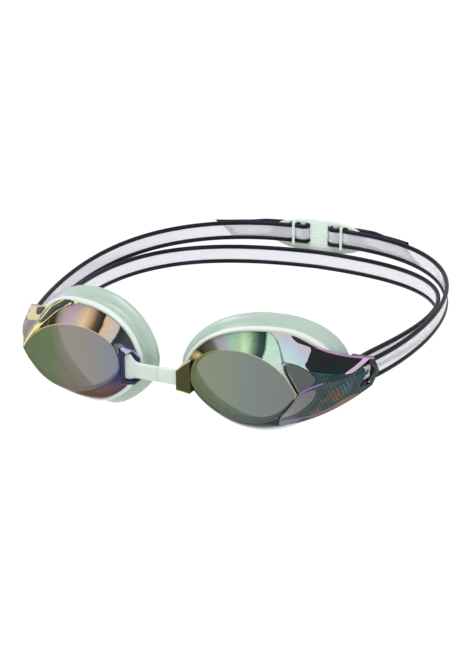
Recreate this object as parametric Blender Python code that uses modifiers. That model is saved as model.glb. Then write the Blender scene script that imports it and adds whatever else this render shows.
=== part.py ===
"""Swim goggles held as they are worn.

Two mirrored lens cups with soft seals, a flexible nose bridge, a double silicone
strap looped round a pin in each anchor, and a clip at the back of the head.

Sizes are in millimetres until the last step of each builder, which scales them to
metres. +X is the wearer's left, -Y the way the lenses face and +Z up. Every piece
of the wearer's left side is built from the dimensions below, and the right side
is its mirror image in X = 0. The dimensions count from a point in front of the
bridge, and ORIGIN is where the finished part's origin lies among them: between the
nose ends of the two seals, where they rest on the face.
"""

import math

import bmesh
import bpy
import numpy as np

MM = 0.001
ORIGIN = (0.0, 18.6, -5.0)

# Outlines of one cup, as (x, z) seen from the front, nose end first.
FACE_CORNER = (54.8, -3.0)
FACE_OUTLINE = [
    (14.0, -4.2), (15.2, 1.8), (18.8, 6.0), (24.5, 8.7), (31.5, 9.8), (38.5, 9.3),
    (45.0, 7.0), (50.5, 3.0), FACE_CORNER, (52.2, -7.4), (48.0, -12.2), (42.5, -15.4),
    (35.5, -16.7), (28.0, -15.8), (21.0, -12.5), (16.2, -8.4),
]
WALL_OUTLINE = [
    (9.8, -3.5), (11.6, 2.6), (16.0, 7.6), (22.0, 10.8), (29.0, 12.5), (37.0, 12.9),
    (45.0, 12.2), (52.0, 9.6), (57.4, 5.0), (59.6, -2.0), (58.4, -9.0), (54.0, -15.6),
    (47.0, -20.6), (38.0, -23.2), (29.0, -22.4), (21.0, -18.4), (14.0, -12.0),
]
LIP_OUTLINE = [
    (4.6, -5.0), (6.2, 2.6), (11.4, 9.4), (19.0, 14.2), (28.0, 16.6), (37.0, 16.8),
    (46.0, 15.2), (54.0, 11.4), (60.0, 5.2), (62.6, -3.0), (61.0, -12.0), (55.6, -20.4),
    (47.0, -26.2), (37.0, -28.6), (27.0, -27.2), (17.4, -21.8), (8.6, -13.6),
]
OUTLINE_CENTRE = (35.0, -4.0)

# Planes that hold those outlines: y at x = 35 and z = 0, then y per mm of x and of z.
FACE_PLANE = (5.7, 0.0, -0.07)
WALL_PLANE = (18.2, 0.275, 0.0)
RIM_PLANE = (21.0, 0.287, 0.0)
NECK_PLANE = (24.6, 0.31, 0.0)
LIP_PLANE = (28.6, 0.333, 0.0)

LENS_POINTS = 48
SEAL_POINTS = 40
WALL_THICKNESS = 2.2
CAVITY_INSET = 3.2
FACE_THICKNESS = 2.0
WALL_BULGE = 0.7
GAP = 0.3

# The wing between cup and anchor: its top ridge, outer crease and lower edge, each
# as start, middle and end, and the same three lines on the side towards the head.
WING_TOP = [(48.5, 20.6, 10.6), (61.2, 27.0, 6.2), (70.9, 37.0, 3.0)]
WING_CREASE = [(53.8, 6.6, -3.0), (63.8, 19.4, -1.2), (73.0, 37.0, -1.8)]
WING_FOOT = [(47.0, 18.6, -19.6), (60.0, 27.0, -14.2), (70.6, 37.0, -7.7)]
WING_TOP_BACK = [(48.0, 20.7, 9.6), (59.8, 26.4, 4.8), (63.0, 37.0, 3.0)]
WING_CREASE_BACK = [(52.2, 8.2, -3.0), (61.6, 21.0, -1.2), (63.0, 37.0, -1.8)]
WING_FOOT_BACK = [(46.4, 18.4, -18.0), (58.6, 26.4, -12.6), (63.0, 37.0, -7.7)]
WING_STEPS = 10

# The anchor: a pocket open to the rear, with a pin that the strap loops round.
PIN = (66.9, 34.6)
PIN_RADIUS = 0.75
POCKET_LOW = (64.0, 31.4, -6.85)
POCKET_HIGH = (70.3, 40.0, 2.25)
WINDOW_CENTRE = (71.6, 33.4, -2.3)
WINDOW_SIZE = (6.0, 2.6, 6.0)
WINDOW_TILT_DEG = -18.0

# The socket on the nose side of each cup, which grips one end of the bridge.
SOCKET_LOW = (7.4, 6.7, -9.9)
SOCKET_HIGH = (14.0, 11.0, 1.7)
SOCKET_WALL = 1.0
SOCKET_DEPTH = 4.2
EDGE_ROUND = 0.6

# Nose bridge sections: x, middle z, height, middle y.
BRIDGE_SECTIONS = [
    (0.0, -5.4, 5.6, 8.4), (3.0, -5.4, 5.8, 8.5), (5.2, -5.0, 7.2, 8.75),
    (6.6, -4.3, 8.6, 8.85), (8.0, -4.1, 8.8, 8.85), (11.2, -4.1, 8.8, 8.85),
]
BRIDGE_THICKNESS = 1.7

# The strap: two round rails joined by a thin web, standing on edge.
STRAP_HEIGHT = 8.5
RAIL_HEIGHT = 1.9
RAIL_HALF_THICKNESS = 0.85
WEB_HALF_THICKNESS = 0.35
LOOP_RADIUS = 1.9
ANCHOR_Z = -2.3
LOOP_LEGS = {"lower": (65.0, 38.7), "upper": (69.3, 38.7)}
STRAND_START_Y = 39.0
STRAND_STEPS = 26
# Start, heading from +Y towards +X, the two curve handles, the height at the back, the
# extra height half way, and how far from the middle the half strand ends.
LOWER_STRAND = {
    "start_x": 65.0, "heading_deg": -2.0, "handles": (15.0, 104.0),
    "back_z": -2.4, "sag": -0.6, "end_x": 0.35,
}
UPPER_STRAND = {
    "start_x": 69.4, "heading_deg": 20.0, "handles": (10.0, 106.0),
    "back_z": 8.2, "sag": 1.9, "end_x": 4.3,
}
BACK_Y = 158.0

# The rear clip, which follows the upper strand round its outer side.
CLIP_HALF_LENGTH = 22.5
CLIP_HEIGHT = 14.6
CLIP_THICKNESS = 1.8
CLIP_Z = 7.8
CLIP_STEPS = 24
CLIP_GAP = 0.55
SLOT_X = 5.4
SLOT_WIDTH = 2.6
SLOT_HEIGHT = 9.6
KEEPER_X = 11.4
KEEPER_WIDTH = 1.3
KEEPER_THICKNESS = 1.0
KEEPER_LEG = 1.0

# The strap tails, which lie outside the clip and the upper strand.
TAIL_START = 4.2
TAIL_STEPS = 12
TAIL_ENDS = {"left": (43.0, -6.0), "right": (39.6, 6.4)}

# Colour, metallic, roughness and transmission of each material.
MATERIALS = {
    "mirror_lens": ((0.42, 0.45, 0.38), 0.6, 0.08, 0.2),
    "seal_silicone": ((0.66, 0.80, 0.74), 0.0, 0.35, 0.3),
    "bridge_silicone": ((0.80, 0.88, 0.84), 0.0, 0.35, 0.2),
    "strap_silicone": ((0.10, 0.07, 0.13), 0.0, 0.40, 0.0),
    "clip_plastic": ((0.76, 0.84, 0.80), 0.0, 0.40, 0.2),
}


def clear_scene():
    for obj in list(bpy.data.objects):
        bpy.data.objects.remove(obj, do_unlink=True)


def material(name):
    colour, metallic, roughness, transmission = MATERIALS[name]
    made = bpy.data.materials.new(name)
    made.use_nodes = True
    shader = made.node_tree.nodes["Principled BSDF"]
    shader.inputs["Base Color"].default_value = (*colour, 1.0)
    shader.inputs["Metallic"].default_value = metallic
    shader.inputs["Roughness"].default_value = roughness
    shader.inputs["Transmission Weight"].default_value = transmission
    made.diffuse_color = (*colour, 1.0)
    return made


def in_metres(point, sign=1):
    """A point of the dimensions above, moved to the part's origin and mirrored by sign -1."""
    return tuple(factor * (a - o) * MM for factor, a, o in zip((sign, 1, 1), point, ORIGIN))


def add_mesh(name, vertices, faces, sign, collection, made_of=None):
    """A mesh object from millimetre points; sign -1 mirrors them in X = 0."""
    points = [in_metres(point, sign) for point in vertices]
    mesh = bpy.data.meshes.new(name)
    mesh.from_pydata(points, [], faces)
    work = bmesh.new()
    work.from_mesh(mesh)
    bmesh.ops.recalc_face_normals(work, faces=work.faces)
    if len(vertices) > 8:
        bmesh.ops.triangulate(work, faces=work.faces)
    work.to_mesh(mesh)
    work.free()
    obj = bpy.data.objects.new(name, mesh)
    collection.objects.link(obj)
    if made_of:
        mesh.materials.append(made_of)
    return obj


def loft(rings):
    """Vertices and faces of a solid through these rings, closed by a cap at each end."""
    count = len(rings[0])
    vertices = [tuple(map(float, point)) for ring in rings for point in ring]
    faces = [tuple(range(count)), tuple(range(len(vertices) - count, len(vertices)))]
    for i in range(len(rings) - 1):
        for j in range(count):
            k = (j + 1) % count
            low, high = i * count, (i + 1) * count
            faces.append((low + j, low + k, high + k, high + j))
    return vertices, faces


def ring_loft(rings):
    """The same with the last ring joined to the first, as a closed hoop."""
    count = len(rings[0])
    vertices = [tuple(map(float, point)) for ring in rings for point in ring]
    faces = []
    for i in range(len(rings)):
        low, high = i * count, (i + 1) % len(rings) * count
        for j in range(count):
            k = (j + 1) % count
            faces.append((low + j, low + k, high + k, high + j))
    return vertices, faces


def smooth_closed(points, corner=None, per_span=12):
    """A Catmull-Rom curve through these points, with an optional sharp corner."""
    knots = np.array(points, float)
    total = len(knots)
    tangents = (np.roll(knots, -1, axis=0) - np.roll(knots, 1, axis=0)) / 2
    curve = []
    for i in range(total):
        j = (i + 1) % total
        leave, arrive = tangents[i], tangents[j]
        if corner is not None and i == corner:
            leave = knots[j] - knots[i]
        if corner is not None and j == corner:
            arrive = knots[j] - knots[i]
        for t in np.linspace(0, 1, per_span, endpoint=False):
            curve.append(
                (2 * t**3 - 3 * t**2 + 1) * knots[i]
                + (t**3 - 2 * t**2 + t) * leave
                + (3 * t**2 - 2 * t**3) * knots[j]
                + (t**3 - t**2) * arrive
            )
    return np.array(curve)


def outline(points, count, grow=0.0, corner=None):
    """count (x, z) points at even angles round the cup's centre, moved out by grow."""
    curve = smooth_closed(points, corner) - OUTLINE_CENTRE
    angles = np.arctan2(curve[:, 1], curve[:, 0])
    radii = np.hypot(curve[:, 0], curve[:, 1])
    order = np.argsort(angles)
    corner_angle = math.atan2(FACE_CORNER[1] - OUTLINE_CENTRE[1], FACE_CORNER[0] - OUTLINE_CENTRE[0])
    wanted = np.linspace(0, 2 * math.pi, count, endpoint=False) + corner_angle
    wanted = (wanted + math.pi) % (2 * math.pi) - math.pi
    found = np.interp(wanted, angles[order], radii[order], period=2 * math.pi) + grow
    return np.column_stack([np.cos(wanted) * found, np.sin(wanted) * found]) + OUTLINE_CENTRE


def on_plane(flat, plane, back=0.0):
    """(x, y, z) of (x, z) points laid on one of the cup's planes."""
    y0, per_x, per_z = plane
    y = y0 + per_x * (flat[:, 0] - 35) + per_z * flat[:, 1] + back
    return np.column_stack([flat[:, 0], y, flat[:, 1]])


def box(low, high):
    """Vertices and faces of an upright box."""
    vertices = [(x, y, z) for x in (low[0], high[0]) for y in (low[1], high[1]) for z in (low[2], high[2])]
    faces = [(0, 1, 3, 2), (4, 6, 7, 5), (0, 4, 5, 1), (2, 3, 7, 6), (0, 2, 6, 4), (1, 5, 7, 3)]
    return vertices, faces


def rounded_box(name, low, high, sign, collection, made_of=None, turn_deg=0.0):
    """A box with rounded edges, turned about the X line through its centre."""
    centre = [(a + b) / 2 for a, b in zip(low, high)]
    vertices, faces = box(*([a - c + o for a, c, o in zip(end, centre, ORIGIN)] for end in (low, high)))
    obj = add_mesh(name, vertices, faces, sign, collection, made_of)
    obj.location = in_metres(centre, sign)
    obj.rotation_euler = (math.radians(turn_deg), 0, 0)
    bevel = obj.modifiers.new("round", "BEVEL")
    bevel.width = EDGE_ROUND * MM
    bevel.segments = 2
    return obj


def cylinder(name, centre, radius, low_z, high_z, sign, collection, sides=12):
    """An upright round bar."""
    angles = [2 * math.pi * i / sides for i in range(sides)]
    rings = [
        [(centre[0] + radius * math.cos(a), centre[1] + radius * math.sin(a), z) for a in angles]
        for z in (low_z, high_z)
    ]
    return add_mesh(name, *loft(rings), sign, collection)


def combine(obj, other, operation):
    modifier = obj.modifiers.new(other.name, "BOOLEAN")
    modifier.operation = operation
    modifier.solver = "EXACT"
    modifier.object = other
    other.hide_render = True
    other.display_type = "WIRE"


def quadratic(points, t):
    """A point on the smooth curve through start, middle and end."""
    start, middle, end = (np.array(p, float) for p in points)
    return start * (1 - t) * (1 - 2 * t) + middle * 4 * t * (1 - t) + end * t * (2 * t - 1)


def build_lens(side, sign, parts, helpers, made_of):
    face = outline(FACE_OUTLINE, LENS_POINTS, corner=FACE_OUTLINE.index(FACE_CORNER))
    wall = outline(WALL_OUTLINE, LENS_POINTS)
    inner_wall = outline(WALL_OUTLINE, LENS_POINTS, -WALL_THICKNESS)
    cavity = outline(FACE_OUTLINE, LENS_POINTS, -CAVITY_INSET)
    front = on_plane(face, FACE_PLANE)
    rear = on_plane(wall, WALL_PLANE)
    outward = (wall - OUTLINE_CENTRE) / np.hypot(*(wall - OUTLINE_CENTRE).T)[:, None]
    middle = (front + rear) / 2
    middle[:, [0, 2]] += outward * WALL_BULGE
    rings = [
        front,
        middle,
        rear,
        on_plane(inner_wall, WALL_PLANE),
        on_plane(cavity, FACE_PLANE, FACE_THICKNESS),
    ]
    lens = add_mesh(f"{side}_lens", *loft(rings), sign, parts, made_of)

    lines = (WING_TOP, WING_CREASE, WING_FOOT, WING_FOOT_BACK, WING_CREASE_BACK, WING_TOP_BACK)
    sections = [[quadratic(line, i / WING_STEPS) for line in lines] for i in range(WING_STEPS + 1)]
    combine(lens, add_mesh(f"{side}_wing_blank", *loft(sections), sign, helpers), "UNION")

    socket = rounded_box(f"{side}_socket_blank", SOCKET_LOW, SOCKET_HIGH, sign, helpers)
    combine(lens, socket, "UNION")
    mouth_low = (SOCKET_LOW[0] - 1.0, SOCKET_LOW[1] + SOCKET_WALL, SOCKET_LOW[2] + SOCKET_WALL)
    mouth_high = (SOCKET_LOW[0] + SOCKET_DEPTH, SOCKET_HIGH[1] - SOCKET_WALL, SOCKET_HIGH[2] - SOCKET_WALL)
    mouth = add_mesh(f"{side}_socket_mouth", *box(mouth_low, mouth_high), sign, helpers)
    combine(lens, mouth, "DIFFERENCE")

    pocket = add_mesh(f"{side}_strap_pocket", *box(POCKET_LOW, POCKET_HIGH), sign, helpers)
    combine(lens, pocket, "DIFFERENCE")
    half = [size / 2 for size in WINDOW_SIZE]
    window = rounded_box(
        f"{side}_anchor_window",
        [c - h for c, h in zip(WINDOW_CENTRE, half)],
        [c + h for c, h in zip(WINDOW_CENTRE, half)],
        sign,
        helpers,
        turn_deg=WINDOW_TILT_DEG,
    )
    combine(lens, window, "DIFFERENCE")
    pin = cylinder(f"{side}_pin", PIN, PIN_RADIUS, POCKET_LOW[2] - 0.5, POCKET_HIGH[2] + 0.5, sign, helpers)
    combine(lens, pin, "UNION")
    return lens


def build_seal(side, sign, parts, made_of):
    """A soft hoop: a rim against the lens, a narrow neck and a flared lip."""
    def ring(points, grow, plane, back=0.0):
        return on_plane(outline(points, SEAL_POINTS, grow), plane, back)

    rings = [
        ring(WALL_OUTLINE, 0.2, WALL_PLANE, GAP),
        ring(WALL_OUTLINE, 1.0, RIM_PLANE, -0.9),
        ring(WALL_OUTLINE, 1.1, RIM_PLANE, 0.3),
        ring(WALL_OUTLINE, 0.1, NECK_PLANE, -1.6),
        ring(WALL_OUTLINE, 0.5, NECK_PLANE, 0.4),
        ring(LIP_OUTLINE, -1.2, LIP_PLANE, -1.6),
        ring(LIP_OUTLINE, 0.0, LIP_PLANE, 0.0),
        ring(LIP_OUTLINE, -0.5, LIP_PLANE, 1.0),
        ring(LIP_OUTLINE, -3.4, LIP_PLANE, 0.9),
        ring(WALL_OUTLINE, -1.4, NECK_PLANE, 0.6),
        ring(WALL_OUTLINE, -1.9, RIM_PLANE, 0.0),
        ring(WALL_OUTLINE, -2.0, WALL_PLANE, GAP),
    ]
    return add_mesh(f"{side}_seal", *ring_loft(rings), sign, parts, made_of)


def build_bridge(parts, made_of):
    ends = [(-x, z, height, y) for x, z, height, y in reversed(BRIDGE_SECTIONS[1:])]
    rings = []
    for x, z, height, y in ends + BRIDGE_SECTIONS:
        tall, thick, cut = height / 2, BRIDGE_THICKNESS / 2, EDGE_ROUND
        rings.append([
            (x, y - thick, z - tall + cut), (x, y - thick, z + tall - cut),
            (x, y - thick + cut, z + tall), (x, y + thick - cut, z + tall),
            (x, y + thick, z + tall - cut), (x, y + thick, z - tall + cut),
            (x, y + thick - cut, z - tall), (x, y - thick + cut, z - tall),
        ])
    return add_mesh("nose_bridge", *loft(rings), 1, parts, made_of)


def strap_section():
    """(thickness, height) points of the strap's cross section, which looks like a dumbbell."""
    top = STRAP_HEIGHT / 2
    rail, web = RAIL_HALF_THICKNESS, WEB_HALF_THICKNESS
    shoulder = RAIL_HEIGHT * 0.27
    half = [
        (web, top - RAIL_HEIGHT), (rail, top - RAIL_HEIGHT + shoulder),
        (rail, top - shoulder), (web, top),
    ]
    right = [(t, -z) for t, z in reversed(half)] + half
    return right + [(-t, z) for t, z in reversed(right)]


def sweep(path, end_shear=0.0):
    """The strap's section carried along a path of (x, y, z), always standing upright."""
    points = np.array(path, float)
    ahead = np.gradient(points[:, :2], axis=0)
    ahead /= np.hypot(ahead[:, 0], ahead[:, 1])[:, None]
    rings = []
    for i, (point, (dx, dy)) in enumerate(zip(points, ahead)):
        shear = end_shear / (STRAP_HEIGHT / 2) if i == len(points) - 1 else 0.0
        rings.append([
            (point[0] + dy * t + dx * shear * z, point[1] - dx * t + dy * shear * z, point[2] + z)
            for t, z in strap_section()
        ])
    return loft(rings)


def strand_path(strand, steps=STRAND_STEPS, end_x=None):
    """Centre line of one strand's left half, from the anchor to its end at the back."""
    heading = math.radians(strand["heading_deg"])
    near, far = strand["handles"]
    start = np.array([strand["start_x"], STRAND_START_Y])
    end = np.array([0.0, BACK_Y])
    knots = (start, start + near * np.array([math.sin(heading), math.cos(heading)]), end + [far, 0], end)
    t = np.linspace(0, 1, 12 * steps + 1)[:, None]
    weights = ((1 - t) ** 3, 3 * (1 - t) ** 2 * t, 3 * (1 - t) * t**2, t**3)
    fine = sum(weight * knot for weight, knot in zip(weights, knots))
    lengths = np.concatenate([[0], np.cumsum(np.hypot(*np.diff(fine, axis=0).T))])
    reach = 1 - (strand["end_x"] if end_x is None else end_x) / lengths[-1]
    along = np.linspace(0, reach, steps + 1)
    x = np.interp(along * lengths[-1], lengths, fine[:, 0])
    y = np.interp(along * lengths[-1], lengths, fine[:, 1])
    rise = (strand["back_z"] - ANCHOR_Z) * along**2 * (3 - 2 * along)
    z = ANCHOR_Z + rise + strand["sag"] * 4 * along * (1 - along)
    return np.column_stack([x, y, z])


def build_loop(side, sign, parts, made_of):
    """The strap where it turns round the pin, inside the anchor's pocket."""
    angles = np.linspace(0, -math.pi, 9)
    turn = [(PIN[0] + LOOP_RADIUS * math.cos(a), PIN[1] + LOOP_RADIUS * math.sin(a)) for a in angles]
    plan = [LOOP_LEGS["upper"]] + turn + [LOOP_LEGS["lower"]]
    path = [(x, y, ANCHOR_Z) for x, y in plan]
    return add_mesh(f"{side}_strap_loop", *sweep(path), sign, parts, made_of)


def upper_at(x):
    """(y, z) of the upper strand's centre line at this distance from the middle."""
    path = strand_path(UPPER_STRAND, 4 * STRAND_STEPS, end_x=0.0)
    behind = path[path[:, 1] > BACK_Y * 0.6][::-1]
    return tuple(float(np.interp(abs(x), behind[:, 0], behind[:, i])) for i in (1, 2))


def build_clip(parts, helpers, made_of):
    inner = RAIL_HALF_THICKNESS + CLIP_GAP
    rings = []
    for i in range(CLIP_STEPS + 1):
        angle = math.pi * i / CLIP_STEPS
        x = -CLIP_HALF_LENGTH * math.cos(angle) * 0.995
        tall = CLIP_HEIGHT / 2 * max(1 - abs(x / CLIP_HALF_LENGTH) ** 2.6, 0.02) ** 0.5
        front = upper_at(x)[0] + inner
        back = front + CLIP_THICKNESS
        cut = min(0.4, tall / 3)
        rings.append([
            (x, front, CLIP_Z - tall + cut), (x, front, CLIP_Z + tall - cut),
            (x, front + cut, CLIP_Z + tall), (x, back - cut, CLIP_Z + tall),
            (x, back, CLIP_Z + tall - cut), (x, back, CLIP_Z - tall + cut),
            (x, back - cut, CLIP_Z - tall), (x, front + cut, CLIP_Z - tall),
        ])
    clip = add_mesh("strap_clip", *loft(rings), 1, parts, made_of)
    for side, sign in (("left", 1), ("right", -1)):
        middle = upper_at(SLOT_X)[1]
        low = (SLOT_X - SLOT_WIDTH / 2, BACK_Y - 4, middle - SLOT_HEIGHT / 2)
        high = (SLOT_X + SLOT_WIDTH / 2, BACK_Y + 6, middle + SLOT_HEIGHT / 2)
        combine(clip, add_mesh(f"{side}_slot", *box(low, high), sign, helpers), "DIFFERENCE")
        combine(clip, keeper_blank(side, sign, inner, helpers), "UNION")
    return clip


def keeper_blank(side, sign, inner, helpers):
    """A staple over the strand: a C-shaped outline carried across the keeper's width."""
    mid, strand_z = upper_at(KEEPER_X)
    near = mid - RAIL_HALF_THICKNESS - CLIP_GAP
    front = near - KEEPER_THICKNESS
    root = mid + inner + CLIP_THICKNESS / 2
    clear = STRAP_HEIGHT / 2 + CLIP_GAP
    edge = clear + KEEPER_LEG
    shape = [(root, edge), (front, edge), (front, -edge), (root, -edge),
             (root, -clear), (near, -clear), (near, clear), (root, clear)]
    rings = [
        [(KEEPER_X + dx, y, strand_z + z) for y, z in shape]
        for dx in (-KEEPER_WIDTH / 2, KEEPER_WIDTH / 2)
    ]
    return add_mesh(f"{side}_keeper", *loft(rings), sign, helpers)


def build_tail(side, sign, parts, made_of):
    """The strap's spare end, outside the clip first and then against the strand."""
    end_x, shear = TAIL_ENDS[side]
    over_clip = 2 * RAIL_HALF_THICKNESS + 2 * CLIP_GAP + CLIP_THICKNESS
    over_strand = 2 * RAIL_HALF_THICKNESS + 0.6
    path = []
    for x in np.linspace(TAIL_START, end_x, TAIL_STEPS + 1):
        blend = min(max((x - CLIP_HALF_LENGTH - 1.0) / 8, 0), 1)
        blend = blend * blend * (3 - 2 * blend)
        offset = over_clip + (over_strand - over_clip) * blend
        y, z = upper_at(x)
        fall = upper_at(x - 0.5)[0] - upper_at(x + 0.5)[0]
        turn = math.atan(fall)
        path.append((x + offset * math.sin(turn), y + offset * math.cos(turn), z))
    return add_mesh(f"{side}_strap_tail", *sweep(path, shear), sign, parts, made_of)


def build():
    clear_scene()
    parts = bpy.data.collections.new("swim_goggles")
    helpers = bpy.data.collections.new("helpers")
    for collection in (parts, helpers):
        bpy.context.scene.collection.children.link(collection)
    helpers.hide_render = True
    made_of = {name: material(name) for name in MATERIALS}
    build_bridge(parts, made_of["bridge_silicone"])
    for side, sign in (("left", 1), ("right", -1)):
        build_lens(side, sign, parts, helpers, made_of["mirror_lens"])
        build_seal(side, sign, parts, made_of["seal_silicone"])
        silicone = made_of["strap_silicone"]
        build_loop(side, sign, parts, silicone)
        for level, strand in (("upper", UPPER_STRAND), ("lower", LOWER_STRAND)):
            sheet = sweep(strand_path(strand))
            add_mesh(f"{side}_{level}_strand", *sheet, sign, parts, silicone)
        build_tail(side, sign, parts, silicone)
    build_clip(parts, helpers, made_of["clip_plastic"])


build()
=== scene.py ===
"""Swim goggles: the fine surfaces and the looks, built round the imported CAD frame.

Dimensions are in millimetres, counted from a point in front of the nose bridge, as in the
CAD model. ORIGIN is the frame's origin among them. They repeat the CAD model's, except
where it is plainer: the cup's cavity, the sockets and bridge ends, the lip's lower edge,
the strap's dips, and the clip's bars, windows and dents. Each piece is built for the
wearer's left side (+X) and mirrored for the right, and the two sides differ only in
their colours, sockets, bridge ends, spare ends and the panels of their wings.
"""

import math

import bmesh
import bpy
import numpy as np
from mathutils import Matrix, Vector


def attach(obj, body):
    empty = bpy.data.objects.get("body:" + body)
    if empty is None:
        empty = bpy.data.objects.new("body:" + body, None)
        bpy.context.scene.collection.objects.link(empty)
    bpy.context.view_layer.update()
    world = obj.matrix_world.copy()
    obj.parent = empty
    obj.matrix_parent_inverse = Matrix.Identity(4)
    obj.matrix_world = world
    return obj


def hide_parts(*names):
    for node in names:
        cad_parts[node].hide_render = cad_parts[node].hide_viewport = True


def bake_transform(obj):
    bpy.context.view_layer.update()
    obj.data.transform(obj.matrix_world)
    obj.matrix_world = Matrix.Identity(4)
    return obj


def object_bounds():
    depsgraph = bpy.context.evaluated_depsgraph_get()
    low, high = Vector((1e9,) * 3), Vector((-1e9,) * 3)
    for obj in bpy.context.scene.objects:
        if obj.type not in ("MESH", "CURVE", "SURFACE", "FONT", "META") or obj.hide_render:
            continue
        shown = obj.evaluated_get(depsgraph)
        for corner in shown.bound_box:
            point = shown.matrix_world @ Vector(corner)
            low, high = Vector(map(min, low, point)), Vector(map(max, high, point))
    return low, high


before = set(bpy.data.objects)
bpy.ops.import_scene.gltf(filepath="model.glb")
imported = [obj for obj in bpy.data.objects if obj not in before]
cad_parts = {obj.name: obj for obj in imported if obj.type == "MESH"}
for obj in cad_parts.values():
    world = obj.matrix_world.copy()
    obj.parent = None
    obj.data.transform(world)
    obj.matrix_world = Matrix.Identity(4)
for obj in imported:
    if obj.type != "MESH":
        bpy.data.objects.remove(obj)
CAD_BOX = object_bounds()

MM = 0.001
ORIGIN = np.array([0.0, 18.6, -5.0])
SIDES = (("left", 1), ("right", -1))

# Outlines of one cup, as (x, z) seen from the front, nose end first.
FACE_CORNER = (54.8, -3.0)
FACE_OUTLINE = [
    (14.0, -4.2), (15.2, 1.8), (18.8, 6.0), (24.5, 8.7), (31.5, 9.8), (38.5, 9.3),
    (45.0, 7.0), (50.5, 3.0), FACE_CORNER, (52.2, -7.4), (48.0, -12.2), (42.5, -15.4),
    (35.5, -16.7), (28.0, -15.8), (21.0, -12.5), (16.2, -8.4),
]
CORNER = FACE_OUTLINE.index(FACE_CORNER)
WALL_OUTLINE = [
    (9.8, -3.5), (11.6, 2.6), (16.0, 7.6), (22.0, 10.8), (29.0, 12.5), (37.0, 12.9),
    (45.0, 12.2), (52.0, 9.6), (57.4, 5.0), (59.6, -2.0), (58.4, -9.0), (54.0, -15.6),
    (47.0, -20.6), (38.0, -23.2), (29.0, -22.4), (21.0, -18.4), (14.0, -12.0),
]
LIP_OUTLINE = [
    (4.6, -5.0), (6.2, 2.6), (11.4, 9.4), (19.0, 14.2), (28.0, 16.6), (37.0, 16.8),
    (46.0, 15.2), (54.0, 11.4), (60.0, 5.2), (62.4, -3.0), (60.2, -11.0), (54.2, -18.2),
    (46.0, -24.4), (37.0, -27.8), (27.0, -27.2), (17.4, -21.8), (8.6, -13.6),
]
OUTLINE_CENTRE = np.array([35.0, -4.0])

# Planes that hold those outlines: y at x = 35 and z = 0, then y per mm of x and of z.
FACE_PLANE = (5.7, 0.0, -0.07)
WALL_PLANE = (18.2, 0.275, 0.0)
RIM_PLANE = (21.0, 0.287, 0.0)
NECK_PLANE = (24.6, 0.31, 0.0)
LIP_PLANE = (28.6, 0.333, 0.0)

LENS_POINTS = 192
SEAL_POINTS = 144
WALL_STEPS = 10
WALL_THICKNESS = 1.7
CAVITY_INSET = 1.4
# The cup's wall thins by this towards THIN_DEG round it, and its rear edge is thicker
# at the temple.
THINNING = 1.0
THIN_DEG = 60
TEMPLE_THICKENING = 3.0
FACE_THICKNESS = 1.2
WALL_BULGE = 0.7
FLANK_HOLLOW = 1.5

# The seal's section from its groove round the lip, as outline, growth, plane and distance
# behind the plane. Its inner side follows the wall's outline.
SEAL_GAP = 0.3
SEAL_RINGS = [
    (WALL_OUTLINE, 0.2, WALL_PLANE, SEAL_GAP), (WALL_OUTLINE, 1.0, WALL_PLANE, 0.45),
    (WALL_OUTLINE, 1.45, RIM_PLANE, -0.9), (WALL_OUTLINE, 1.45, RIM_PLANE, -0.1),
    (WALL_OUTLINE, 0.55, RIM_PLANE, 0.35), (WALL_OUTLINE, -0.1, NECK_PLANE, -2.0),
    (WALL_OUTLINE, 0.1, NECK_PLANE, -0.4), (WALL_OUTLINE, 0.9, NECK_PLANE, 0.8),
    (LIP_OUTLINE, -1.5, LIP_PLANE, -1.9), (LIP_OUTLINE, -0.25, LIP_PLANE, -0.5),
    (LIP_OUTLINE, 0.0, LIP_PLANE, 0.3), (LIP_OUTLINE, -0.6, LIP_PLANE, 1.0),
    (LIP_OUTLINE, -2.4, LIP_PLANE, 1.1), (LIP_OUTLINE, -3.6, LIP_PLANE, 0.6),
]
SEAL_INNER_RINGS = [
    (-1.2, NECK_PLANE, 0.9), (-1.8, NECK_PLANE, -1.0), (-2.0, RIM_PLANE, 0.0),
    (-2.0, WALL_PLANE, SEAL_GAP + 0.2),
]
# The seal's first strips, its rim, are painted paler: painted light on the rim.
RIM_STRIPS = 3

# The wing between cup and anchor: its top ridge, outer crease and lower edge, each
# as start, middle and end, and the same three lines on the side towards the head.
WING_TOP = [(48.5, 20.6, 10.6), (61.2, 27.0, 6.2), (70.9, 37.0, 3.0)]
WING_CREASE = [(53.8, 6.6, -3.0), (63.8, 19.4, -1.2), (73.0, 37.0, -1.8)]
WING_FOOT = [(47.0, 18.6, -20.2), (59.4, 26.6, -15.6), (70.6, 37.0, -7.7)]
WING_TOP_BACK = [(48.0, 20.7, 9.6), (59.8, 26.4, 4.8), (63.0, 37.0, 3.0)]
WING_CREASE_BACK = [(52.2, 8.2, -3.0), (61.6, 21.0, -1.2), (63.0, 37.0, -1.8)]
WING_FOOT_BACK = [(46.4, 18.4, -18.4), (58.2, 26.2, -13.8), (63.0, 37.0, -7.7)]
WING_STEPS = 48
WING_ACROSS = 8
GRIP_ROW = 5
# Where the wing grows out of the wall, as (v, share of the wall's depth, degrees round the
# cup): v is 0 on the ridge, 1 on the crease and 2 at the foot. It joins the straight-lined
# part of the wing at WING_JOIN of its length.
WING_ROOT = [
    (0.0, 1.0, 79), (0.2, 0.62, 62), (0.4, 0.30, 43), (0.6, 0.07, 29), (0.8, 0.03, 16),
    (1.0, 0.02, 3), (1.2, 0.02, -8), (1.5, 0.03, -24), (1.8, 0.20, -43), (2.0, 0.70, -62),
]
WING_JOIN = 0.24
ROOT_LIFT = 0.15
ROOT_THICKNESS = 0.9
RIDGE_SWELL = 2.4
PATCH_DEPTH = 0.25
LINE_LIFT = 0.08

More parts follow.
